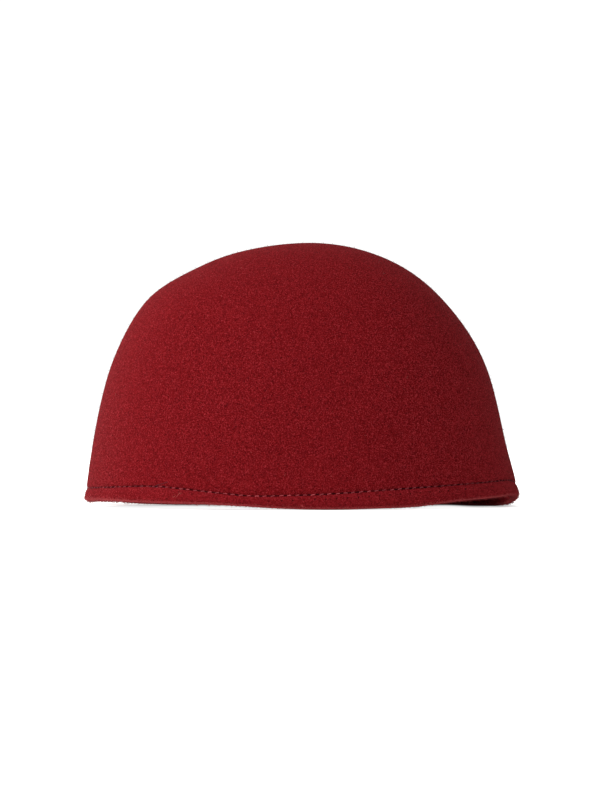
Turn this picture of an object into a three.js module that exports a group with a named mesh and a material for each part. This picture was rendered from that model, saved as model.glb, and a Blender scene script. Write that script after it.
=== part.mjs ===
// A close-fitting cap of wool felt: one skin of felt, steamed over a head block into a dome,
// with its lower edge turned up inside and held by one row of stitches.
// Units are millimetres, with +Z up. The forehead is at -X, the nape at +X, and the rim stands on z = 0.
import * as THREE from "three";

// Driving dimensions
const RIM_LENGTH = 205; // forehead to nape, over the felt where the hem is widest
const RIM_WIDTH = 172; // ear to ear, over the felt where the hem is widest
const CROWN_HEIGHT = 124.5; // flat surface to the tip of the crown
const FELT_THICKNESS = 2;
const SEAM_HEIGHT = 7.5; // folded edge to the row of stitches
const SEAM_ALLOWANCE = 3.5; // turned-in felt that reaches past the stitches
const SEAM_GROOVE_DEPTH = 0.4; // how far the stitches pull the felt in
const SEAM_GROOVE_REACH = 1.2; // felt on each side of the stitches that dips with them
const OUTER_ROUNDING = 2; // radius of the folded edge on the outside
const INNER_ROUNDING = 1; // radius of the folded edge on the inside
const RIM_LIFT = 6.6; // the most that the rim stands off a flat surface
const RIM_LIFT_REACH = 58; // height at which the wall no longer follows the lifted rim
const OVAL_FULLNESS = 0.045; // how much fuller than an ellipse the head oval is, as a share
const DENT_DEPTH = 1.5; // depth of the deepest soft dent

// Fineness of the mesh
const COLUMNS = 90; // sections round the crown
const OUTER_ROWS = 19; // rows of the outer skin above the hem
const INNER_ROWS = 11; // rows of the inner skin above the hem
const TIP_TURN = 87; // degrees up the block of the last row under the tip

// Half the section of the block through forehead and nape, and half of the one through the ears.
// turn is the angle up the block in degrees, so that the height is the sine of turn.
// front and back are shares of half the rim's length, and side is a share of half its width.
const BLOCK_SECTIONS = [
  { turn: 0, front: 1.0, back: 1.0, side: 1.0 },
  { turn: 1, front: 1.0, back: 1.0, side: 1.0 },
  { turn: 3, front: 0.993, back: 0.986, side: 0.99 },
  { turn: 5, front: 0.986, back: 0.977, side: 0.983 },
  { turn: 8, front: 0.979, back: 0.961, side: 0.972 },
  { turn: 14, front: 0.96, back: 0.931, side: 0.955 },
  { turn: 20, front: 0.941, back: 0.908, side: 0.937 },
  { turn: 30, front: 0.894, back: 0.861, side: 0.896 },
  { turn: 38, front: 0.839, back: 0.799, side: 0.842 },
  { turn: 45, front: 0.782, back: 0.728, side: 0.78 },
  { turn: 51, front: 0.722, back: 0.657, side: 0.716 },
  { turn: 55, front: 0.669, back: 0.608, side: 0.663 },
  { turn: 59, front: 0.596, back: 0.555, side: 0.6 },
  { turn: 64, front: 0.498, back: 0.484, side: 0.512 },
  { turn: 69, front: 0.41, back: 0.404, side: 0.424 },
  { turn: 75, front: 0.292, back: 0.303, side: 0.308 },
  { turn: 80, front: 0.178, back: 0.218, side: 0.207 },
  { turn: 90, front: -0.037, back: 0.037, side: 0 },
];

// The folded edge, all the way round. azimuth is in degrees from the nape, and runs by the far ear.
// lift is a share of RIM_LIFT, and seam a share of SEAM_HEIGHT.
const EDGE_SECTIONS = [
  { azimuth: -180, lift: 0.42, seam: 0.82 },
  { azimuth: -150, lift: 0.49, seam: 0.9 },
  { azimuth: -130, lift: 0.4, seam: 1.06 },
  { azimuth: -112, lift: 0.32, seam: 0.77 },
  { azimuth: -103, lift: 0.2, seam: 0.67 },
  { azimuth: -97, lift: 0.08, seam: 0.78 },
  { azimuth: -84, lift: 0, seam: 0.95 },
  { azimuth: -70, lift: 0.06, seam: 1.12 },
  { azimuth: -60, lift: 0.16, seam: 1.18 },
  { azimuth: -52, lift: 0.38, seam: 1.1 },
  { azimuth: -45, lift: 0.55, seam: 1.05 },
  { azimuth: -32, lift: 0.7, seam: 1.05 },
  { azimuth: -16, lift: 0.86, seam: 1 },
  { azimuth: -4, lift: 0.71, seam: 0.9 },
  { azimuth: 6, lift: 0.39, seam: 0.88 },
  { azimuth: 14, lift: 0.13, seam: 0.9 },
  { azimuth: 24, lift: 0, seam: 0.93 },
  { azimuth: 60, lift: 0, seam: 1 },
  { azimuth: 90, lift: 0.16, seam: 0.98 },
  { azimuth: 120, lift: 0, seam: 0.96 },
  { azimuth: 130, lift: 0.02, seam: 0.96 },
  { azimuth: 140, lift: 0.1, seam: 0.95 },
  { azimuth: 150, lift: 0.27, seam: 0.91 },
  { azimuth: 162, lift: 0.4, seam: 0.87 },
  { azimuth: 180, lift: 0.42, seam: 0.82 },
];

// Soft dents in the felt. height is a share of CROWN_HEIGHT, and depth of DENT_DEPTH: a bulge where it is below 0.
// wide is half the dent's width in degrees, and tall half its height as a share of CROWN_HEIGHT.
const DENTS = [
  { azimuth: -150, height: 0.3, depth: 0.3, wide: 16, tall: 0.14 },
  { azimuth: -122, height: 0.48, depth: 0.3, wide: 12, tall: 0.18 },
  { azimuth: -98, height: 0.7, depth: -0.45, wide: 18, tall: 0.14 },
  { azimuth: -76, height: 0.48, depth: 0.5, wide: 13, tall: 0.18 },
  { azimuth: -60, height: 0.2, depth: 0.35, wide: 6, tall: 0.16 },
  { azimuth: -34, height: 0.3, depth: -0.35, wide: 12, tall: 0.18 },
  { azimuth: 42, height: 0.45, depth: 1.0, wide: 22, tall: 0.2 },
  { azimuth: 84, height: 0.3, depth: -0.5, wide: 18, tall: 0.18 },
  { azimuth: 120, height: 0.6, depth: 0.8, wide: 18, tall: 0.18 },
];

// Reads the named columns of a table at any place of its key column, along a smooth curve.
function tableReader(rows, key, columns, ending) {
  const places = rows.map((row) => row[key]);
  const samples = rows.flatMap((row) => columns.map((column) => row[column]));
  const curve = new THREE.CubicInterpolant(places, samples, columns.length, []);
  curve.settings = { endingStart: ending, endingEnd: ending };
  return (place) => {
    const values = curve.evaluate(place);
    return Object.fromEntries(columns.map((column, i) => [column, values[i]]));
  };
}

const blockAt = tableReader(BLOCK_SECTIONS, "turn", ["front", "back", "side"], THREE.ZeroCurvatureEnding);
const edgeAt = tableReader(EDGE_SECTIONS, "azimuth", ["lift", "seam"], THREE.WrapAroundEnding);

const turnOf = (height) => THREE.MathUtils.radToDeg(Math.asin(Math.min(height / CROWN_HEIGHT, 1)));
const heightOf = (turn) => CROWN_HEIGHT * Math.sin(THREE.MathUtils.degToRad(turn));
const liftAt = (azimuth) => RIM_LIFT * Math.max(edgeAt(azimuth).lift, 0);
const seamAt = (azimuth) => SEAM_HEIGHT * edgeAt(azimuth).seam;

// The shortest way round from one azimuth to another, in degrees.
function turnBetween(from, to) {
  return THREE.MathUtils.euclideanModulo(to - from + 180, 360) - 180;
}

// How far the dents push the felt in at a place.
function dentAt(azimuth, height) {
  let depth = 0;
  for (const dent of DENTS) {
    const across = turnBetween(dent.azimuth, azimuth) / dent.wide;
    const along = (height / CROWN_HEIGHT - dent.height) / dent.tall;
    depth += DENT_DEPTH * dent.depth * Math.exp(-across * across - along * along);
  }
  return depth;
}

// A point of the crown's outer face. height is measured from the folded edge.
function outerPoint(azimuth, height) {
  const { front, back, side } = blockAt(turnOf(height));
  const angle = THREE.MathUtils.degToRad(azimuth);
  const [across, along] = [Math.cos(angle), Math.sin(angle)];
  const halfLength = (RIM_LENGTH / 2) * ((front + back) / 2);
  const centre = (RIM_LENGTH / 2) * ((back - front) / 2);
  const dent = dentAt(azimuth, height);
  return new THREE.Vector3(
    centre + (halfLength - dent) * across * (1 + OVAL_FULLNESS * along * along),
    ((RIM_WIDTH / 2) * side - dent) * along * (1 + OVAL_FULLNESS * across * across),
    height + liftAt(azimuth) * (1 - THREE.MathUtils.smoothstep(height, 0, RIM_LIFT_REACH)),
  );
}

// The way into the felt at a place of the outer face. Near the edge it is level, so that the fold lies flat.
function inwardAt(azimuth, height) {
  const step = 0.05;
  const round = outerPoint(azimuth + step, height).sub(outerPoint(azimuth - step, height));
  const up = outerPoint(azimuth, height + step).sub(outerPoint(azimuth, Math.max(height - step, 0)));
  const inward = up.cross(round).normalize();
  inward.z *= THREE.MathUtils.smoothstep(height, OUTER_ROUNDING, 2 * seamAt(azimuth));
  return inward.normalize();
}

// The middle of a quarter round lies this share of its radius from both of its faces.
const MIDDLE_OF_ROUND = 1 - Math.SQRT1_2;

// One section of the felt as a closed path without its two ends at the tip:
// down the outer face, round the folded edge, up the turned-in felt, over its cut edge and up inside.
function feltSection(azimuth) {
  const seam = seamAt(azimuth);
  const hemTop = seam + SEAM_ALLOWANCE;
  const wallRow = (row, rows) => heightOf(THREE.MathUtils.lerp(turnOf(hemTop), TIP_TURN, row / rows));
  const hem = 2 * FELT_THICKNESS;
  const outer = Math.min(OUTER_ROUNDING, 0.6 * hem);
  const inner = Math.min(INNER_ROUNDING, 0.3 * hem);
  const halfway = (outer + seam - SEAM_GROOVE_REACH) / 2;
  const path = [];
  for (let row = OUTER_ROWS; row >= 0; row--) path.push([wallRow(row, OUTER_ROWS), 0]);
  path.push(
    [seam + SEAM_GROOVE_REACH, 0],
    [seam, SEAM_GROOVE_DEPTH],
    [seam - SEAM_GROOVE_REACH, 0],
    [halfway, 0],
    [outer, 0],
    [outer * MIDDLE_OF_ROUND, outer * MIDDLE_OF_ROUND],
    [0, outer],
    [0, hem - inner],
    [inner * MIDDLE_OF_ROUND, hem - inner * MIDDLE_OF_ROUND],
    [inner, hem],
    [halfway, hem],
    [seam, hem],
    [hemTop, hem],
  );
  for (let row = 0; row <= INNER_ROWS; row++) path.push([wallRow(row, INNER_ROWS), FELT_THICKNESS]);
  return path.map(([height, inset]) =>
    outerPoint(azimuth, height).addScaledVector(inwardAt(azimuth, height), inset),
  );
}

// The closed skin through all sections, drawn together at the tip outside and inside.
function feltGeometry() {
  const azimuths = Array.from({ length: COLUMNS }, (_, column) => -180 + (360 * column) / COLUMNS);
  const sections = azimuths.map(feltSection);
  const rows = sections[0].length;
  const tip = outerPoint(0, CROWN_HEIGHT);
  const points = [...sections.flat(), tip, tip.clone().setZ(tip.z - FELT_THICKNESS)];
  const outerTip = COLUMNS * rows;
  const innerTip = outerTip + 1;
  const triangles = [];
  for (let column = 0; column < COLUMNS; column++) {
    const here = column * rows;
    const next = ((column + 1) % COLUMNS) * rows;
    triangles.push(outerTip, here, next);
    for (let row = 0; row + 1 < rows; row++) {
      triangles.push(here + row, here + row + 1, next + row + 1, here + row, next + row + 1, next + row);
    }
    triangles.push(here + rows - 1, innerTip, next + rows - 1);
  }
  const geometry = new THREE.BufferGeometry().setFromPoints(points);
  geometry.setIndex(triangles);
  geometry.computeVertexNormals();
  return geometry;
}

function feltCrown() {
  const felt = new THREE.MeshStandardMaterial({ color: 0x7e181d, roughness: 0.95, metalness: 0 });
  const crown = new THREE.Mesh(feltGeometry(), felt);
  crown.name = "felt_crown";
  return crown;
}

const cap = new THREE.Group();
cap.add(feltCrown());

export default cap;
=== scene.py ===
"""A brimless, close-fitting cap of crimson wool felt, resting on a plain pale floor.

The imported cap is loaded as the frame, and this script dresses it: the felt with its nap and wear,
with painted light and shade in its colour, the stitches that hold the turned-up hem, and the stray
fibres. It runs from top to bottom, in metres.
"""
import math

import bmesh
import bpy
import numpy as np
from mathutils import Matrix, Vector, noise
from mathutils.bvhtree import BVHTree


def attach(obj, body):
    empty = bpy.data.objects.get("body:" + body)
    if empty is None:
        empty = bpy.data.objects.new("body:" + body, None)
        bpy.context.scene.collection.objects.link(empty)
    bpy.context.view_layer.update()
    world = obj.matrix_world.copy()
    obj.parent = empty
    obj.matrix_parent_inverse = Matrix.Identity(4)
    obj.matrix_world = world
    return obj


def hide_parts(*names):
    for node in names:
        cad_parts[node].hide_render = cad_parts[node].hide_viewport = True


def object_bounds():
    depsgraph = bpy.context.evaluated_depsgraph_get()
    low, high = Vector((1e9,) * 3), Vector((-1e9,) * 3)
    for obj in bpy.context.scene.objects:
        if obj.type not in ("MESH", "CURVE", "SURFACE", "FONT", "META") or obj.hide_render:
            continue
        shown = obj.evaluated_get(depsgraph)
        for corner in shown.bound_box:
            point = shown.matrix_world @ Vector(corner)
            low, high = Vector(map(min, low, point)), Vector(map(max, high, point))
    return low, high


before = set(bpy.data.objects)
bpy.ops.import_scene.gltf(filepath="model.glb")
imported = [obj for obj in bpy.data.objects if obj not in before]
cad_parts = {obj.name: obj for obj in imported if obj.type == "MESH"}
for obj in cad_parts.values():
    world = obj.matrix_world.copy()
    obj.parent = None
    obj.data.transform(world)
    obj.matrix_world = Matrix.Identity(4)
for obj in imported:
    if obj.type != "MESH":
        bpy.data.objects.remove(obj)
cad_low, cad_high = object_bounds()

# Camera
# The picture is taken square to the wearer's left side, from a little above the surface, and from
# far enough away that the near and the far wall of the cap look almost the same size.
MM = 0.001
CAMERA_DISTANCE = 2500 * MM
CAMERA_HEIGHT = 40 * MM
CAMERA_TILT = math.radians(0.2377)
CAMERA_ASIDE = -1.01 * MM
CAMERA_LENS = 238.7
CAMERA_SENSOR = 36
CAMERA_REACH = 12.0

bpy.ops.object.select_all(action="DESELECT")
bpy.ops.object.camera_add(
    location=(CAMERA_ASIDE, -CAMERA_DISTANCE, CAMERA_HEIGHT),
    rotation=(math.radians(90) + CAMERA_TILT, 0, 0),
)
camera = bpy.context.object
camera.data.lens = CAMERA_LENS
camera.data.sensor_width = CAMERA_SENSOR
camera.data.clip_end = CAMERA_REACH
bpy.context.scene.camera = camera
bpy.context.scene.view_settings.view_transform = "Standard"


# Studio: white floor, white surround and soft lights
# A white table top runs into a white surround. A broad light comes from high on the left in front,
# with a low one beside it, one from the left behind and a faint one from behind. The air round the
# cap is bright, so that only the right side and the rim fall dark.
STUDIO_RADIUS = 5.5
FLOOR_COLOUR = "#edecea"
WHITE = "#ffffff"
SURROUND_STRENGTH = 1.1
SKY_STRENGTH = 0.345
LOW_KEY = {"azimuth": -152, "elevation": 15, "strength": 0.55, "softness": 45}
HIGH_KEY = {"azimuth": -145, "elevation": 45, "strength": 1.66, "softness": 60}
LEFT_BACK = {"azimuth": -218, "elevation": 10, "strength": 1.28, "softness": 40}
TOP_BACK = {"azimuth": 95, "elevation": 40, "strength": 0.3, "softness": 60}


def linear(hex_colour):
    """An sRGB hex colour as linear red, green, blue and alpha."""
    shares = [int(hex_colour[i : i + 2], 16) / 255 for i in (1, 3, 5)]
    return [s / 12.92 if s <= 0.04045 else ((s + 0.055) / 1.055) ** 2.4 for s in shares] + [1.0]


def add_node(tree, kind, settings=None):
    """Adds a node. settings holds its properties, and the values or the sockets for its inputs.

    A colour ramp's settings hold its stops too: pairs of a place from 0 to 1 and a hex colour.
    """
    node = tree.nodes.new(kind)
    for name, value in (settings or {}).items():
        if name == "stops":
            ramp = node.color_ramp
            for element, (place, colour) in zip(ramp.elements, (value[0], value[-1])):
                element.position, element.color = place, linear(colour)
            for place, colour in value[1:-1]:
                ramp.elements.new(place).color = linear(colour)
        elif isinstance(value, bpy.types.NodeSocket):
            tree.links.new(value, node.inputs[name])
        elif isinstance(name, int) or name in node.inputs:
            node.inputs[name].default_value = value
        else:
            setattr(node, name, value)
    return node


def new_material(name):
    """An empty material by that name, its node tree and its output node."""
    material = bpy.data.materials.new(name)
    material.use_nodes = True
    material.node_tree.nodes.clear()
    return material, material.node_tree, add_node(material.node_tree, "ShaderNodeOutputMaterial")


bpy.ops.mesh.primitive_circle_add(vertices=96, radius=STUDIO_RADIUS, fill_type="NGON")
floor = bpy.context.object
floor.name = "floor"
table_top, tree, output = new_material("matt white table top")
paint = add_node(
    tree,
    "ShaderNodeBsdfPrincipled",
    {"Base Color": linear(FLOOR_COLOUR), "Roughness": 0.9, "Specular IOR Level": 0.1},
)
tree.links.new(paint.outputs["BSDF"], output.inputs["Surface"])
floor.data.materials.append(table_top)

# The picture is overexposed: the camera sees a white haze over the floor that lights nothing. It
# clears in the shade under and behind the cap, and in a strip before the side that rests on the
# floor. Each pair says where that starts and where the haze is gone. A reach is measured in the
# rim's oval, squared, so that 1 is the rim.
HAZE_HEIGHT = 0.02 * MM
HAZE_STRENGTH = 0.93
SHADE_BACK = (0, 90 * MM)
SHADE_REACH = (2.9, 1.3)
SHADE_SIDES = (110 * MM, 92 * MM)
NAPE_SIDE = (68 * MM, 84 * MM)
NAPE_SHADE = 42 * MM
STRIP_FRONT = (0, -10 * MM)
STRIP_RIM = (0.9, 1.0)
STRIP_REACH = (1.75, 1.05)
STRIP_SIDES = (80 * MM, 20 * MM)

bpy.ops.mesh.primitive_circle_add(
    vertices=96, radius=STUDIO_RADIUS, fill_type="NGON", location=(0, 0, HAZE_HEIGHT)
)
haze = bpy.context.object
haze.name = "haze"
white_haze, tree, output = new_material("white haze over the floor")
on_floor = add_node(tree, "ShaderNodeTexCoord").outputs["Object"]
parts = add_node(tree, "ShaderNodeSeparateXYZ", {"Vector": on_floor})
along_head, across_head = parts.outputs["X"], parts.outputs["Y"]
aside = add_node(tree, "ShaderNodeMath", {"operation": "ABSOLUTE", 0: along_head}).outputs[0]
oval = 0.0
for way, half_size in ((along_head, cad_high.x), (across_head, cad_high.y)):
    share = add_node(tree, "ShaderNodeMath", {"operation": "DIVIDE", 0: way, 1: half_size}).outputs[0]
    squares = {"operation": "MULTIPLY_ADD", 0: share, 1: share, 2: oval}
    oval = add_node(tree, "ShaderNodeMath", squares).outputs[0]
at_nape = add_node(
    tree,
    "ShaderNodeMapRange",
    {
        "interpolation_type": "SMOOTHSTEP",
        "Value": along_head,
        "From Min": NAPE_SIDE[0],
        "From Max": NAPE_SIDE[1],
    },
).outputs["Result"]
shifted = {"operation": "MULTIPLY_ADD", 0: at_nape, 1: NAPE_SHADE, 2: across_head}
depth = add_node(tree, "ShaderNodeMath", shifted).outputs[0]
in_shade = [(depth, SHADE_BACK), (oval, SHADE_REACH), (aside, SHADE_SIDES)]
in_strip = [(across_head, STRIP_FRONT), (oval, STRIP_RIM), (oval, STRIP_REACH), (aside, STRIP_SIDES)]
cleared = []
for conditions in (in_shade, in_strip):
    share = 1.0
    for value, (start, end) in conditions:
        step = {"interpolation_type": "SMOOTHSTEP", "Value": value, "From Min": start, "From Max": end}
        step = add_node(tree, "ShaderNodeMapRange", step).outputs["Result"]
        share = add_node(tree, "ShaderNodeMath", {"operation": "MULTIPLY", 0: share, 1: step}).outputs[0]
    cleared.append(share)
most = {"operation": "MAXIMUM", 0: cleared[0], 1: cleared[1]}
cleared = add_node(tree, "ShaderNodeMath", most).outputs[0]
left_over = {"operation": "MULTIPLY_ADD", 0: cleared, 1: -HAZE_STRENGTH, 2: HAZE_STRENGTH}
strength = add_node(tree, "ShaderNodeMath", left_over).outputs[0]
clear = add_node(tree, "ShaderNodeBsdfTransparent").outputs["BSDF"]
glow = add_node(tree, "ShaderNodeEmission", {"Color": linear(WHITE), "Strength": strength})
both = add_node(tree, "ShaderNodeAddShader", {0: clear, 1: glow.outputs["Emission"]})
tree.links.new(both.outputs["Shader"], output.inputs["Surface"])
haze.data.materials.append(white_haze)

bpy.ops.mesh.primitive_uv_sphere_add(segments=64, ring_count=32, radius=STUDIO_RADIUS)
surround = bpy.context.object
surround.name = "surround"
white_surround, tree, output = new_material("white surround")
glow = add_node(tree, "ShaderNodeEmission", {"Color": linear(WHITE), "Strength": SURROUND_STRENGTH})
tree.links.new(glow.outputs["Emission"], output.inputs["Surface"])
surround.data.materials.append(white_surround)

for seen_only in (haze, surround):
    for ray in ("diffuse", "glossy", "transmission", "shadow"):
        setattr(seen_only, "visible_" + ray, False)

for light in (LOW_KEY, HIGH_KEY, LEFT_BACK, TOP_BACK):
    bpy.ops.object.light_add(
        type="SUN",
        rotation=(math.radians(90 - light["elevation"]), 0, math.radians(90 + light["azimuth"])),
    )
    lamp = bpy.context.object
    lamp.data.energy = light["strength"]
    lamp.data.angle = math.radians(light["softness"])

# A small card beside the picture lights the nape's hem, and a dim glow stands for the light that
# finds its way in under the raised rim.
CARD_PLACE = Vector((150 * MM, -60 * MM, 12 * MM))
CARD_AIM = Vector((97 * MM, -25 * MM, 6 * MM))
CARD_WIDTH = 30 * MM
CARD_HEIGHT = 16 * MM
CARD_POWER = 0.0025
GLOW_PLACE = Vector((89 * MM, 10 * MM, 9 * MM))
GLOW_RADIUS = 5 * MM
GLOW_POWER = 0.0017

bpy.ops.object.light_add(type="AREA", location=CARD_PLACE)
card = bpy.context.object
card.rotation_euler = (CARD_PLACE - CARD_AIM).to_track_quat("Z", "Y").to_euler()
card.data.shape = "RECTANGLE"
card.data.size = CARD_WIDTH
card.data.size_y = CARD_HEIGHT
card.data.energy = CARD_POWER
bpy.ops.object.light_add(type="POINT", location=GLOW_PLACE)
inner_glow = bpy.context.object
inner_glow.data.shadow_soft_size = GLOW_RADIUS
inner_glow.data.energy = GLOW_POWER

world = bpy.data.worlds.new("studio air")
world.use_nodes = True
bpy.context.scene.world = world
sky = world.node_tree.nodes["Background"]
sky.inputs["Color"].default_value = linear(WHITE)
sky.inputs["Strength"].default_value = SKY_STRENGTH


# Felt crown
# The whole cap is one skin of wool felt, 2 mm thick, steamed and pulled over a head block, with its
# lower edge turned up inside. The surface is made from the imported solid, so the form stays its own.
SMOOTHING_LEVELS = 2
MERGE_DISTANCE = 0.01 * MM
QUAD_ANGLE = math.radians(60)
NEEDLE_PULL = 0.35 * MM
NEEDLE_PULL_REACH = 0.8 * MM
SOFT_WAVE = 0.22 * MM
SOFT_WAVE_SIZE = 26 * MM
SOFT_WAVE_FADE = 15 * MM
GROOVE_BEND = math.radians(-20)
FACING_OUT = 0.7
LEVEL = 0.5
PARTLY_OUT = 0.2
HEAD_LENGTH, HEAD_WIDTH = cad_high.x - cad_low.x, cad_high.y - cad_low.y

bpy.ops.object.select_all(action="DESELECT")
crown = bpy.data.objects.new("crown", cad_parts["felt_crown"].data.copy())
bpy.context.scene.collection.objects.link(crown)
crown.data.materials.clear()
bpy.context.view_layer.objects.active = crown
crown.select_set(True)
bpy.ops.object.mode_set(mode="EDIT")
bpy.ops.mesh.select_all(action="SELECT")
bpy.ops.mesh.remove_doubles(threshold=MERGE_DISTANCE)
bpy.ops.mesh.tris_convert_to_quads(face_threshold=QUAD_ANGLE, shape_threshold=QUAD_ANGLE)
bpy.ops.object.mode_set(mode="OBJECT")


def turn_about_head(x, y):
    """The place round the head, from -pi to pi, with 0 at the nape and the near side below 0."""
    return np.arctan2(y / HEAD_WIDTH, x / HEAD_LENGTH)


# The stitches lie in the one groove on the outside of the hem: the edges there bend inwards.
cage = bmesh.new()
cage.from_mesh(crown.data)
groove = set()
for edge in cage.edges:
    normal = (edge.link_faces[0].normal + edge.link_faces[1].normal).normalized()
    along = edge.verts[1].co - edge.verts[0].co
    outward = Vector((edge.verts[0].co.x, edge.verts[0].co.y, 0)).normalized()
    level = abs(along.z) < LEVEL * along.length
    if edge.calc_face_angle_signed() < GROOVE_BEND and normal.dot(outward) > FACING_OUT and level:
        groove.update(edge.verts)
groove = sorted((turn_about_head(v.co.x, v.co.y), *v.co) for v in groove)
cage.free()

seam = np.array([point[1:] for point in groove])
seam_turns = np.array([point[0] for point in groove])
seam_steps = np.linalg.norm(np.roll(seam, -1, axis=0) - seam, axis=1)
seam_places = np.concatenate([[0], np.cumsum(seam_steps)])
seam_length = seam_places[-1]


def round_the_seam(turn, values):
    """values along the seam's points, read at any turn about the head."""
    turns = np.concatenate([seam_turns - 2 * math.pi, seam_turns, seam_turns + 2 * math.pi])
    return np.interp(turn, turns, np.concatenate([values, values, values]))


def place_along_seam(turn):
    """The length along the seam, from the forehead, at a turn about the head."""
    turns = np.append(seam_turns, seam_turns[0] + 2 * math.pi)
    turn = np.where(turn < seam_turns[0], turn + 2 * math.pi, turn)
    return np.interp(turn, turns, seam_places)


crown.modifiers.new("smooth skin", "SUBSURF")
crown.modifiers["smooth skin"].levels = SMOOTHING_LEVELS
crown.modifiers["smooth skin"].render_levels = SMOOTHING_LEVELS
bpy.ops.object.modifier_apply(modifier="smooth skin")

count = len(crown.data.vertices)
points = np.zeros(count * 3)
crown.data.vertices.foreach_get("co", points)
points = points.reshape(count, 3)
normals = np.zeros(count * 3)
crown.data.vertices.foreach_get("normal", normals)
normals = normals.reshape(count, 3)
turns = turn_about_head(points[:, 0], points[:, 1])
outward = np.stack([points[:, 0] / HEAD_LENGTH**2, points[:, 1] / HEAD_WIDTH**2, 0 * turns], axis=1)
outward /= np.maximum(np.linalg.norm(outward, axis=1), 1e-9)[:, None]
outside = np.sum(outward * normals, axis=1) > PARTLY_OUT

# The thread pulls the felt in along the seam, and the whole skin waves softly.
over_seam = points[:, 2] - round_the_seam(turns, seam[:, 2])
pulled = NEEDLE_PULL * np.exp(-((over_seam / NEEDLE_PULL_REACH) ** 2)) * outside
wave = np.array([noise.noise(Vector(p) / SOFT_WAVE_SIZE) for p in points])
wave *= SOFT_WAVE * np.clip(over_seam / SOFT_WAVE_FADE, 0, 1)
points -= outward * (pulled - wave)[:, None]
crown.data.vertices.foreach_set("co", points.ravel())

# The wear of the folded edge, which reaches higher at the forehead, and the place along the seam are
# kept for the material. The material paints that band paler, partly as real wear and partly as
# painted light, standing in for the light that the floor throws up onto the fold's underside.
EDGE_BINS = 360
WEAR_AND_LIGHT_HEIGHT = 1.6 * MM
FOREHEAD_WEAR_AND_LIGHT = 0.8 * MM
bins = ((turns + math.pi) / (2 * math.pi) * EDGE_BINS).astype(int) % EDGE_BINS
lowest = np.full(EDGE_BINS, 1.0)
np.minimum.at(lowest, bins, points[:, 2])
over_edge = points[:, 2] - lowest[bins]
wear_and_light_reach = WEAR_AND_LIGHT_HEIGHT + FOREHEAD_WEAR_AND_LIGHT * np.clip(-points[:, 0] / (HEAD_LENGTH / 2), 0, 1) ** 3
wear = np.clip(1 - over_edge / wear_and_light_reach, 0, 1)
crown.data.attributes.new("wear", "FLOAT", "POINT").data.foreach_set("value", wear.astype(np.float32))

stitch_map = crown.data.uv_layers.new(name="stitching")
corners = np.zeros(len(crown.data.loops), dtype=int)
crown.data.loops.foreach_get("vertex_index", corners)
along = place_along_seam(turns)[corners]
for face in crown.data.polygons:
    span = slice(face.loop_start, face.loop_start + face.loop_total)
    if along[span].max() - along[span].min() > seam_length / 2:
        along[span] = np.where(along[span] < seam_length / 2, along[span] + seam_length, along[span])
map_values = np.stack([along, np.where(outside, over_seam, 1.0)[corners]], axis=1)
stitch_map.data.foreach_set("uv", map_values.ravel())

bpy.ops.object.shade_smooth()
crown.data.update()

# Blocked wool felt, brushed: matt, with a short nap that catches light at its grazing edges, and a
# grain of matted curls, rougher towards the nape and the forehead. The curls are painted lighter
# where they stand high, as painted highlight, and darker where they lie low, as painted shade, and
# the dark pits between them are painted shade. The dye took unevenly. Real curls are finer than the
# picture shows, so they are drawn about half a millimetre across.
FELT_COLOUR = "#801217"
FELT_LIT_CURL = "#ac2d35"
FELT_CURL_SHADE = "#4a0205"
FELT_WARM = "#851619"
FELT_COOL = "#78141f"
FELT_PIT_SHADE = "#2c0205"
# The fold's pale colour: partly real wear, partly painted light on its underside.
FELT_WORN_AND_LIT = "#d6585c"
FELT_SHEEN = "#e8a0a0"
# The painted shade of the needle holes and the groove.
HOLE_SHADE_COLOUR = "#2c070c"
PATTERN_ROUGHNESS = 0.6
CURL_SIZE = 0.47 * MM
PIT_SIZE = 0.64 * MM
PIT_DEPTH = (0.58, 0.7)
PIT_SHADE_SHARE = 0.6
DYE_SIZE = 3.5 * MM
DYE_SHARE = 0.15
EVEN_GRAIN = 0.97
NAPE_GRAIN = (10 * MM, 75 * MM)
NAPE_ROUGHER = 0.42
FOREHEAD_GRAIN = (-75 * MM, -95 * MM)
FOREHEAD_ROUGHER = 0.35
NAP_HEIGHT = 0.22 * MM
NAP_STRENGTH = 0.9
WORN_AND_LIT_ON_CURLS = 1.6
WORN_AND_LIT_FROM = (0.15, 0.8)
WORN_AND_LIT_SHARE = 0.8
HEM_PAINTED_LIGHT = 0.07
HEM_EDGE = (0.5 * MM, -1.0 * MM)
UNEVEN_SIZE = 2.6 * MM
UNEVEN_STEP = (0.3, 0.55)
FAINTEST_MARK = 0.5
BAND_FULL = 0.4
STITCH_PITCH = 3.7 * MM
HOLE_REACH = 0.5 * MM
HOLE_WIDTH = 1.5 * MM
GROOVE_REACH = 0.6 * MM
GROOVE_SHADE = 0.3
FOREHEAD_FADE = 50 * MM
PRICK_PITCH = 4.95 * MM
PRICK_DROP = 2.3 * MM
PRICK_REACH = 0.45 * MM
PRICK_WIDTH = 0.5 * MM
PRICKS_FROM, PRICKS_TO = -14 * MM, 88 * MM


def along_and_over_seam(tree):
    """The two lengths of the stitching map: along the seam, and up from it."""
    seam_uv = add_node(tree, "ShaderNodeUVMap", {"uv_map": "stitching"}).outputs["UV"]
    parts = add_node(tree, "ShaderNodeSeparateXYZ", {"Vector": seam_uv})
    return parts.outputs["X"], parts.outputs["Y"]


def seam_band(tree, drop, reach):
    """A mask of a soft band along the seam, drop below it, that ends at reach to each side."""
    from_middle = {"operation": "ADD", 0: along_and_over_seam(tree)[1], 1: drop}
    from_middle = add_node(tree, "ShaderNodeMath", from_middle).outputs[0]
    distance = add_node(tree, "ShaderNodeMath", {"operation": "ABSOLUTE", 0: from_middle}).outputs[0]
    fade = {
        "interpolation_type": "SMOOTHSTEP",
        "Value": distance,
        "From Min": reach,
        "From Max": BAND_FULL * reach,
    }
    return add_node(tree, "ShaderNodeMapRange", fade).outputs["Result"]


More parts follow.
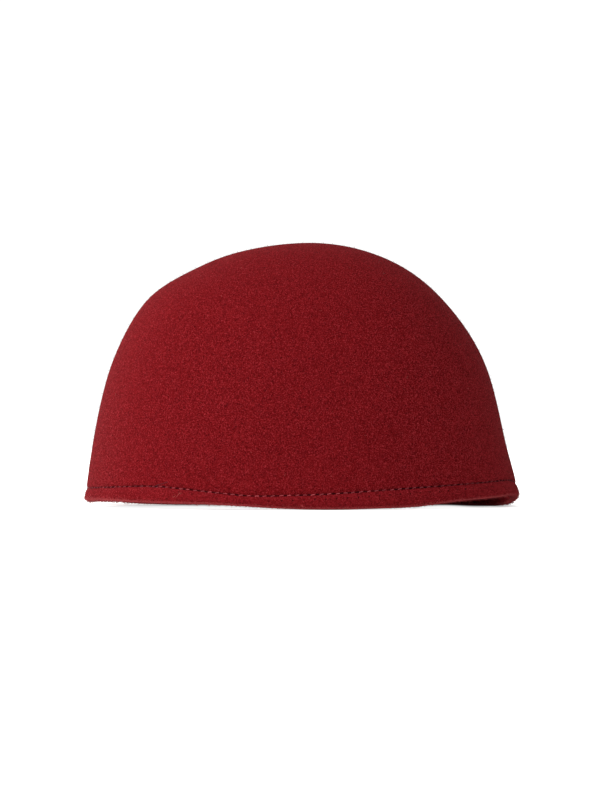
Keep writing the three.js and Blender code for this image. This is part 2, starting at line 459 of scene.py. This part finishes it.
def needle_marks(tree, pitch, drop, reach, width, first=0.0, last=10.0):
    """A mask of needle marks at every pitch along the seam from first to last, drop below it."""
    along = along_and_over_seam(tree)[0]
    turn = {"operation": "MULTIPLY", 0: along, 1: 2 * math.pi / pitch}
    turn = add_node(tree, "ShaderNodeMath", turn).outputs[0]
    beat = add_node(tree, "ShaderNodeMath", {"operation": "COSINE", 0: turn}).outputs[0]
    full = math.cos(math.pi * width / pitch)
    mark = {
        "interpolation_type": "SMOOTHSTEP",
        "Value": beat,
        "From Min": 2 * full - 1,
        "From Max": full,
    }
    marks = add_node(tree, "ShaderNodeMapRange", mark).outputs["Result"]
    after = add_node(tree, "ShaderNodeMath", {"operation": "GREATER_THAN", 0: along, 1: first})
    before = add_node(tree, "ShaderNodeMath", {"operation": "LESS_THAN", 0: along, 1: last})
    for share in (seam_band(tree, drop, reach), after.outputs[0], before.outputs[0]):
        product = {"operation": "MULTIPLY", 0: marks, 1: share}
        marks = add_node(tree, "ShaderNodeMath", product).outputs[0]
    return marks


def seam_place_at(x):
    """The place along the seam, on the near side, that is x along the head."""
    near_side = np.flatnonzero(seam[:, 1] < 0)
    return float(np.interp(x, seam[near_side, 0], seam_places[near_side]))


felt, tree, output = new_material("brushed crimson wool felt")
on_skin = add_node(tree, "ShaderNodeTexCoord").outputs["Object"]
patterns = []
for size, detail, distortion in (
    (CURL_SIZE, 3.0, 0.8),
    (DYE_SIZE, 2.0, 0.0),
    (PIT_SIZE, 1.0, 0.4),
    (UNEVEN_SIZE, 1.0, 0.0),
):
    pattern = {
        "Vector": on_skin,
        "Scale": 1 / size,
        "Detail": detail,
        "Roughness": PATTERN_ROUGHNESS,
        "Distortion": distortion,
    }
    patterns.append(add_node(tree, "ShaderNodeTexNoise", pattern).outputs["Fac"])
curls, dye, pit_shade, unevenness = patterns

# The curls stand out more where the felt is rougher.
along_head = add_node(tree, "ShaderNodeSeparateXYZ", {"Vector": on_skin}).outputs["X"]
rougher = EVEN_GRAIN
for (start, end), more in ((NAPE_GRAIN, NAPE_ROUGHER), (FOREHEAD_GRAIN, FOREHEAD_ROUGHER)):
    there = {
        "interpolation_type": "SMOOTHSTEP",
        "Value": along_head,
        "From Min": start,
        "From Max": end,
    }
    there = add_node(tree, "ShaderNodeMapRange", there).outputs["Result"]
    rougher = {"operation": "MULTIPLY_ADD", 0: there, 1: more, 2: rougher}
    rougher = add_node(tree, "ShaderNodeMath", rougher).outputs[0]
curls = add_node(tree, "ShaderNodeMath", {"operation": "SUBTRACT", 0: curls, 1: 0.5}).outputs[0]
curls = {"operation": "MULTIPLY_ADD", 0: curls, 1: rougher, 2: 0.5}
curls = add_node(tree, "ShaderNodeMath", curls).outputs[0]

# The curl tones follow the curls' height: painted highlight on the high curls, painted shade low.
curl_light_and_shade_stops = [(0.36, FELT_CURL_SHADE), (0.5, FELT_COLOUR), (0.64, FELT_LIT_CURL)]
curl_light_and_shade = add_node(tree, "ShaderNodeValToRGB", {"Fac": curls, "stops": curl_light_and_shade_stops}).outputs["Color"]
dye_stops = [(0.3, FELT_COOL), (0.5, FELT_COLOUR), (0.7, FELT_WARM)]
dye_tone = add_node(tree, "ShaderNodeValToRGB", {"Fac": dye, "stops": dye_stops}).outputs["Color"]
# The dark pits are painted shade in the felt's hollows.
pit_shade = {
    "interpolation_type": "SMOOTHSTEP",
    "Value": pit_shade,
    "From Min": PIT_DEPTH[0],
    "From Max": PIT_DEPTH[1],
}
pit_shade = add_node(tree, "ShaderNodeMapRange", pit_shade).outputs["Result"]
pit_shade = add_node(tree, "ShaderNodeMath", {"operation": "MULTIPLY", 0: pit_shade, 1: PIT_SHADE_SHARE}).outputs[0]

# The fold is worn pale, first where its curls stand highest. The pale band is partly real wear and
# partly painted light from the floor below.
wear = add_node(tree, "ShaderNodeAttribute", {"attribute_name": "wear"}).outputs["Fac"]
high = {"operation": "MULTIPLY_ADD", 0: curls, 1: WORN_AND_LIT_ON_CURLS, 2: -0.5 * WORN_AND_LIT_ON_CURLS}
high = add_node(tree, "ShaderNodeMath", high).outputs[0]
high = add_node(tree, "ShaderNodeMath", {"operation": "ADD", 0: wear, 1: high}).outputs[0]
worn_and_lit = {
    "interpolation_type": "SMOOTHSTEP",
    "Value": high,
    "From Min": WORN_AND_LIT_FROM[0],
    "From Max": WORN_AND_LIT_FROM[1],
}
worn_and_lit = add_node(tree, "ShaderNodeMapRange", worn_and_lit).outputs["Result"]
worn_and_lit = add_node(tree, "ShaderNodeMath", {"operation": "MULTIPLY", 0: worn_and_lit, 1: WORN_AND_LIT_SHARE}).outputs[0]

along, over = along_and_over_seam(tree)
# The outside of the hem below the seam is painted a little lighter: painted light from the floor.
hem_painted_light = {
    "interpolation_type": "SMOOTHSTEP",
    "Value": over,
    "From Min": HEM_EDGE[0],
    "From Max": HEM_EDGE[1],
}
hem_painted_light = add_node(tree, "ShaderNodeMapRange", hem_painted_light).outputs["Result"]
hem_painted_light = add_node(tree, "ShaderNodeMath", {"operation": "MULTIPLY", 0: hem_painted_light, 1: HEM_PAINTED_LIGHT}).outputs[0]

# The needle holes and the groove that the thread lies in are painted dark as shade, more in some
# places than in others, and the groove's painted shade fades out by the forehead. A second row of
# pricks follows under the seam, painted dark as shade too.
stitch_count = round(seam_length / STITCH_PITCH)
stitch_pitch = seam_length / stitch_count
holes = needle_marks(tree, stitch_pitch, 0.0, HOLE_REACH, HOLE_WIDTH)
unevenness = {
    "interpolation_type": "SMOOTHSTEP",
    "Value": unevenness,
    "From Min": UNEVEN_STEP[0],
    "From Max": UNEVEN_STEP[1],
    "To Min": FAINTEST_MARK,
}
unevenness = add_node(tree, "ShaderNodeMapRange", unevenness).outputs["Result"]
from_forehead = {
    "interpolation_type": "SMOOTHSTEP",
    "Value": along,
    "From Max": FOREHEAD_FADE,
    "To Max": GROOVE_SHADE,
}
from_forehead = add_node(tree, "ShaderNodeMapRange", from_forehead).outputs["Result"]
in_groove = {"operation": "MULTIPLY", 0: seam_band(tree, 0.0, GROOVE_REACH), 1: from_forehead}
in_groove = add_node(tree, "ShaderNodeMath", in_groove).outputs[0]
seam_painted_shade = add_node(tree, "ShaderNodeMath", {"operation": "MAXIMUM", 0: holes, 1: in_groove}).outputs[0]
seam_painted_shade = {"operation": "MULTIPLY", 0: seam_painted_shade, 1: unevenness}
seam_painted_shade = add_node(tree, "ShaderNodeMath", seam_painted_shade).outputs[0]
prick_pitch = seam_length / round(seam_length / PRICK_PITCH)
prick_span = seam_place_at(PRICKS_FROM), seam_place_at(PRICKS_TO)
prick_painted_shade = needle_marks(tree, prick_pitch, PRICK_DROP, PRICK_REACH, PRICK_WIDTH, *prick_span)
prick_painted_shade = {"operation": "MULTIPLY", 0: prick_painted_shade, 1: unevenness}
prick_painted_shade = add_node(tree, "ShaderNodeMath", prick_painted_shade).outputs[0]

tone = curl_light_and_shade
for share, colour in (
    (DYE_SHARE, dye_tone),
    (pit_shade, linear(FELT_PIT_SHADE)),
    (worn_and_lit, linear(FELT_WORN_AND_LIT)),
    (hem_painted_light, linear(FELT_LIT_CURL)),
    (seam_painted_shade, linear(HOLE_SHADE_COLOUR)),
    (prick_painted_shade, linear(HOLE_SHADE_COLOUR)),
):
    tone = add_node(tree, "ShaderNodeMix", {"data_type": "RGBA", 0: share, 6: tone, 7: colour}).outputs[2]
nap = {"Strength": NAP_STRENGTH, "Distance": NAP_HEIGHT, "Height": curls}
nap = add_node(tree, "ShaderNodeBump", nap).outputs["Normal"]
felt_shader = add_node(
    tree,
    "ShaderNodeBsdfPrincipled",
    {
        "Base Color": tone,
        "Normal": nap,
        "Roughness": 0.95,
        "Specular IOR Level": 0.04,
        "Sheen Weight": 0.015,
        "Sheen Roughness": 0.3,
        "Sheen Tint": linear(FELT_SHEEN),
    },
)
tree.links.new(felt_shader.outputs["BSDF"], output.inputs["Surface"])
crown.data.materials.append(felt)
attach(crown, "root")
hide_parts("felt_crown")


# Hem stitches
# One row of lockstitch in a fine two-ply thread holds the turned-up hem, with its own row inside.
# Each stitch comes up out of its needle hole, lies across the nap at a slant and goes down again.
THREAD_RADIUS = 0.14 * MM
PLY_TURN = 0.1 * MM
PLY_TWISTS = 1.5
STITCH_RISE = 0.2 * MM
STITCH_SINK = 0.45 * MM
STITCH_SHARE = 0.62
STITCH_SLANT = math.radians(9)
PLY_STEPS = 6
# The thread's colour runs from its painted shade to its painted glint, stitch by stitch.
THREAD_GLINT_COLOUR = "#f26a72"
THREAD_SHADE_COLOUR = "#300a16"
GLINT_PLACES = [-95 * MM, -75 * MM, -58 * MM, -20 * MM, 26 * MM, 45 * MM, 60 * MM, 95 * MM]
GLINTS = [0.35, 0.3, 0.8, 1.0, 0.95, 0.65, 0.42, 0.22]
HIDDEN_GLINT = 0.5
GLINT_END = 10 * MM
PLACE_SPREAD = 0.12 * MM
DROP_SPREAD = 0.06 * MM
SLANT_SPREAD = 0.09
LOWEST, HIGHEST = -0.12 * MM, 0.05 * MM
STITCH_SHADES = (0.5, 1.0)
SECOND_PLY_SHADE = 0.7
END_SINK = 0.22 * MM
END_FADE = 50 * MM
SEAM_SEARCH = 12 * MM
BACKTACK_PLACES = [-74 * MM, -70.4 * MM, -66.8 * MM]
BACKTACK_SLANT = 2.2 * STITCH_SLANT
BACKTACK_DROP = 0.45 * MM
BACKTACK_GLINT = 0.35
TAIL_PLACES = [-68.6 * MM, -66 * MM, -63.8 * MM, -61.6 * MM]
TAIL_RISES = [-0.4 * MM, 0.9 * MM, 1.6 * MM, 2.5 * MM]
TAIL_LIFT = 0.3 * MM
TAIL_GLINT = 0.08
TAIL_RADIUS = 0.17 * MM

random = np.random.default_rng(5)
skin = BVHTree.FromObject(crown, bpy.context.evaluated_depsgraph_get())


def seam_frame(place, side):
    """The ways along, across and out of the skin at a place along the seam, its point and its normal.

    side is 1 for the outside and -1 for the inside.
    """
    here, ahead = [], []
    for axis in range(3):
        values = np.append(seam[:, axis], seam[0, axis])
        here.append(np.interp(place % seam_length, seam_places, values))
        ahead.append(np.interp((place + MM) % seam_length, seam_places, values))
    out = Vector((here[0] / HEAD_LENGTH**2, here[1] / HEAD_WIDTH**2, 0)).normalized() * side
    hit, normal, index, distance = skin.ray_cast(Vector(here) + out * SEAM_SEARCH, -out)
    across = normal.cross(Vector(ahead) - Vector(here)).normalized()
    return Matrix((across.cross(normal), across, normal)).transposed().to_4x4(), hit, normal


def joined_copies(name, templates, places):
    """One mesh of copies of templates. A place is a template's number, a 4x4 matrix and a shade."""
    corners, faces, shades, shapes, start = [], [], [], [], 0
    for template in templates:
        vertices = np.array([v.co[:] + (1.0,) for v in template.data.vertices])
        shapes.append((vertices, [tuple(f.vertices) for f in template.data.polygons]))
        bpy.data.objects.remove(template)
    for number, matrix, shade in places:
        vertices, polygons = shapes[number]
        corners.append((vertices @ np.array(matrix).T)[:, :3])
        faces.extend(tuple(start + v for v in polygon) for polygon in polygons)
        shades.extend([shade] * len(vertices))
        start += len(vertices)
    mesh = bpy.data.meshes.new(name)
    mesh.from_pydata(np.concatenate(corners).tolist(), [], faces)
    mesh.attributes.new("shade", "FLOAT", "POINT").data.foreach_set("value", shades)
    piece = bpy.data.objects.new(name, mesh)
    bpy.context.scene.collection.objects.link(piece)
    bpy.ops.object.select_all(action="DESELECT")
    piece.select_set(True)
    bpy.context.view_layer.objects.active = piece
    bpy.ops.object.shade_smooth()
    return piece


def thread_template(points, radius, sides=1):
    """A tube along points, with a closed end, as a mesh."""
    bpy.ops.object.select_all(action="DESELECT")
    curve = bpy.data.curves.new("thread path", "CURVE")
    curve.dimensions = "3D"
    spline = curve.splines.new("POLY")
    spline.points.add(len(points) - 1)
    for target, point in zip(spline.points, points):
        target.co = (*point, 1)
    curve.bevel_depth = radius
    curve.bevel_resolution = sides - 1
    curve.use_fill_caps = True
    piece = bpy.data.objects.new("thread path", curve)
    bpy.context.scene.collection.objects.link(piece)
    piece.select_set(True)
    bpy.context.view_layer.objects.active = piece
    bpy.ops.object.convert(target="MESH")
    return bpy.context.object


half = STITCH_SHARE * stitch_pitch / 2
ply_points = [[], []]
for step in np.linspace(-1, 1, PLY_STEPS + 1):
    height = STITCH_RISE - (STITCH_RISE + STITCH_SINK) * step**4
    for ply in (0, 1):
        turn = math.pi * (ply + PLY_TWISTS * step)
        side_step, lift = PLY_TURN * math.cos(turn), PLY_TURN * math.sin(turn)
        ply_points[ply].append((half * step, side_step, height + lift))
plies = [thread_template(path, THREAD_RADIUS) for path in ply_points]

stitch_places = []


def add_stitch(place, side, turn, drop, shade):
    """Adds the two plies of a stitch at a place along the seam."""
    basis, hit, normal = seam_frame(place, side)
    from_end = min(place, abs(place - seam_length / 2))
    sink = END_SINK * max(0, 1 - from_end / END_FADE)
    shift = Matrix.Translation((0, -drop, random.uniform(LOWEST, HIGHEST) - sink))
    matrix = Matrix.Translation(hit) @ basis @ shift @ Matrix.Rotation(turn, 4, "Z")
    stitch_places.extend([(0, matrix, shade), (1, matrix, SECOND_PLY_SHADE * shade)])


# The thread is painted with a glint that is brightest along the near middle and dimmer towards both
# ends and on the inside, and it lies deep in the nap towards both ends.
glint_places = [seam_place_at(x) for x in GLINT_PLACES]
for side in (1, -1):
    for number in range(stitch_count):
        place = (number + 0.5) * stitch_pitch + random.normal(0, PLACE_SPREAD)
        near_side = side == 1 and place < glint_places[-1] + GLINT_END
        bright = np.interp(place, glint_places, GLINTS) if near_side else HIDDEN_GLINT
        turn = STITCH_SLANT + random.normal(0, SLANT_SPREAD)
        drop = random.normal(0, DROP_SPREAD)
        add_stitch(place, side, turn, drop, bright * random.uniform(*STITCH_SHADES))

# The row begins and ends here: a few stitches are doubled, and the thread's end stands out.
for x in BACKTACK_PLACES:
    add_stitch(seam_place_at(x), 1, BACKTACK_SLANT, BACKTACK_DROP, BACKTACK_GLINT)
tail_points = []
for x, rise in zip(TAIL_PLACES, TAIL_RISES):
    basis, hit, normal = seam_frame(seam_place_at(x), 1)
    tail_points.append(hit + normal * TAIL_LIFT + Vector((0, 0, rise)))
tail = thread_template(tail_points, TAIL_RADIUS)
stitch_places.append((2, Matrix.Identity(4), TAIL_GLINT))
hem_stitches = joined_copies("hem_stitches", plies + [tail], stitch_places)

# Cotton sewing thread, dyed to match: a little glossier than the felt. Its colour follows each
# stitch's painted glint, and its second ply is painted darker, as painted shade in its folds.
thread, tree, output = new_material("crimson cotton sewing thread")
shade = add_node(tree, "ShaderNodeAttribute", {"attribute_name": "shade"}).outputs["Fac"]
thread_glint_stops = {"Fac": shade, "stops": [(0.0, THREAD_SHADE_COLOUR), (1.0, THREAD_GLINT_COLOUR)]}
thread_glint_tone = add_node(tree, "ShaderNodeValToRGB", thread_glint_stops).outputs["Color"]
thread_shader = add_node(
    tree,
    "ShaderNodeBsdfPrincipled",
    {"Base Color": thread_glint_tone, "Roughness": 0.6, "Specular IOR Level": 0.08},
)
tree.links.new(thread_shader.outputs["BSDF"], output.inputs["Surface"])
hem_stitches.data.materials.append(thread)
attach(hem_stitches, "root")


# Nap
# Short wool fibres that stand out of the brushed felt, in its own colour. They are drawn about twice
# as thick as real ones, which the picture would not show, and soften the outline and the fold.
NAP_COUNT = 6500
NAP_LENGTH = 1.1 * MM
NAP_RADIUS = 0.028 * MM
NAP_SIZES = (0.6, 1.3)
NAP_LEANS = (0.15, 0.8)
NAP_SINK = 0.05 * MM
NAP_INSIDE = 0.15
NAP_COLOURS = [(0.0, "#60171b"), (1.0, "#8a2025")]
FLOOR_CLEARANCE = 0.15 * MM

crown.data.calc_loop_triangles()
skin_points = np.array([v.co[:] for v in crown.data.vertices])
skin_triangles = np.array([t.vertices[:] for t in crown.data.loop_triangles])
first, second, third = (skin_points[skin_triangles[:, k]] for k in range(3))
skin_normals = np.cross(second - first, third - first)
skin_areas = np.linalg.norm(skin_normals, axis=1) / 2
skin_normals /= 2 * skin_areas[:, None]
skin_middles = (first + second + third) / 3


def scattered(amount, weights):
    """Random points of the skin with their normals, more of them where the weights are high."""
    chances = weights * skin_areas
    chosen = random.choice(len(skin_areas), size=amount, p=chances / chances.sum())
    a, b = random.random(amount), random.random(amount)
    a, b = np.where(a + b > 1, 1 - a, a), np.where(a + b > 1, 1 - b, b)
    places = first[chosen] + a[:, None] * (second - first)[chosen] + b[:, None] * (third - first)[chosen]
    return places, skin_normals[chosen]


def fibre_template(length, bend, lift, radius, steps=3):
    """A fibre from its root at the origin along x, bent aside and lifted, as a mesh."""
    shares = np.linspace(0, 1, steps + 1)
    path = [(length * s, bend * length * s * (1 - s) * 4, lift * length * s * s) for s in shares]
    return thread_template(path, radius)


def fibre_places(places, facing, kinds, reach, sizes, leans, sink):
    """Where fibres stand: turned any way about the normal, leant out of it and grown at random."""
    result = []
    for place, normal in zip(places, facing):
        upright = Vector(normal).to_track_quat("Z", "Y").to_matrix().to_4x4()
        turn = Matrix.Rotation(random.uniform(0, 2 * math.pi), 4, "Z")
        lean = Matrix.Rotation(-random.uniform(*leans), 4, "Y")
        size = Matrix.Scale(random.uniform(*sizes), 4)
        start = Matrix.Translation(Vector(place) - Vector(normal) * sink)
        place = start @ upright @ turn @ lean @ size
        kind, shade = int(random.integers(kinds)), random.random()
        # The root, the tip, lifted or not, and the widest bend to either side keep off the floor.
        bends = [(0, 0, 0), (reach, 0, 0), (reach, 0, 0.25 * reach)]
        bends += [(0.5 * reach, aside * reach, 0) for aside in (0.45, -0.45)]
        if min((place @ Vector(bend)).z for bend in bends) > FLOOR_CLEARANCE:
            result.append((kind, place, shade))
    return result


head_middle = np.array([0, 0, 0.3 * cad_high.z])
facing_out = np.sum(skin_normals * (skin_middles - head_middle), axis=1) > 0
nap_kinds = [fibre_template(NAP_LENGTH, bend, 0.25, NAP_RADIUS) for bend in (-0.35, 0.1, 0.45)]
nap_points, nap_normals = scattered(NAP_COUNT, np.where(facing_out, 1.0, NAP_INSIDE))
nap_places = fibre_places(
    nap_points, nap_normals, len(nap_kinds), NAP_LENGTH, NAP_SIZES, NAP_LEANS, NAP_SINK
)
felt_nap = joined_copies("felt_nap", nap_kinds, nap_places)


def fibre_material(name, colours, roughness):
    """Wool fibre whose colour runs through colours, a hex colour for each share from 0 to 1."""
    material, tree, output = new_material(name)
    variety = add_node(tree, "ShaderNodeAttribute", {"attribute_name": "shade"}).outputs["Fac"]
    tone = add_node(tree, "ShaderNodeValToRGB", {"Fac": variety, "stops": colours}).outputs["Color"]
    shader = add_node(
        tree,
        "ShaderNodeBsdfPrincipled",
        {"Base Color": tone, "Roughness": roughness, "Specular IOR Level": 0.05},
    )
    tree.links.new(shader.outputs["BSDF"], output.inputs["Surface"])
    return material


felt_nap.data.materials.append(fibre_material("crimson wool fibre", NAP_COLOURS, 0.8))
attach(felt_nap, "root")


# Pale fibres
# Short bits of undyed and stray wool cling to the skin, with a small tangle of them low on the near
# side, and many fibres stand along the folded edge, where brushing and wear have raised them.
PALE_COUNT = 260
PALE_LENGTH = 2.2 * MM
PALE_RADIUS = 0.032 * MM
PALE_SIZES = (0.12, 0.6)
PALE_LEANS = (0.0, 0.3)
PALE_INSIDE = 0.3
EDGE_FIBRE_COUNT = 5200
EDGE_FIBRE_LENGTH = 1.2 * MM
EDGE_FIBRE_SIZES = (0.5, 1.4)
EDGE_FIBRE_LEANS = (0.0, 0.5)
EDGE_FULL = 1 * MM
CLUMP_COUNT = 14
CLUMP_PLACE = Vector((-57 * MM, -72 * MM, 6.6 * MM))
CLUMP_REACH = 1.6 * MM
CLUMP_SIZES = (0.4, 0.8)
CLUMP_SINK = -0.1 * MM
PALE_COLOURS = [(0.0, "#a8343a"), (0.6, "#c4565a"), (0.7, "#b05850"), (1.0, "#d08a80")]
PALE_SHADES = (0.7, 1.0)
EDGE_SHADE = 0.75

pale_kinds = [
    fibre_template(PALE_LENGTH, bend, 0.02, PALE_RADIUS, 5) for bend in (-0.3, -0.12, 0.08, 0.35)
]
pale_points, pale_normals = scattered(PALE_COUNT, np.where(facing_out, 1.0, PALE_INSIDE))
pale_places = fibre_places(
    pale_points, pale_normals, len(pale_kinds), PALE_LENGTH, PALE_SIZES, PALE_LEANS, 0.0
)
from_clump = np.linalg.norm(skin_middles - np.array(CLUMP_PLACE), axis=1)
from_clump += np.where(facing_out, 0, 1)
clump_points, clump_normals = scattered(CLUMP_COUNT, np.exp(-((from_clump / CLUMP_REACH) ** 2)))
pale_places += fibre_places(
    clump_points, clump_normals, len(pale_kinds), PALE_LENGTH, CLUMP_SIZES, PALE_LEANS, CLUMP_SINK
)
pale_places = [(kind, place, np.interp(shade, (0, 1), PALE_SHADES)) for kind, place, shade in pale_places]
edge_kinds = [fibre_template(EDGE_FIBRE_LENGTH, bend, 0.1, PALE_RADIUS) for bend in (-0.4, 0.3)]
at_edge = np.clip(wear_and_light_reach - over_edge, 0, EDGE_FULL)[skin_triangles].mean(axis=1)
edge_points, edge_normals = scattered(EDGE_FIBRE_COUNT, at_edge)
edge_places = fibre_places(
    edge_points,
    edge_normals,
    len(edge_kinds),
    EDGE_FIBRE_LENGTH,
    EDGE_FIBRE_SIZES,
    EDGE_FIBRE_LEANS,
    0.0,
)
edge_places = [(kind + len(pale_kinds), place, EDGE_SHADE * shade) for kind, place, shade in edge_places]
pale_fibres = joined_copies("pale_fibres", pale_kinds + edge_kinds, pale_places + edge_places)
pale_fibres.data.materials.append(fibre_material("pale stray wool fibre", PALE_COLOURS, 0.6))
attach(pale_fibres, "root")
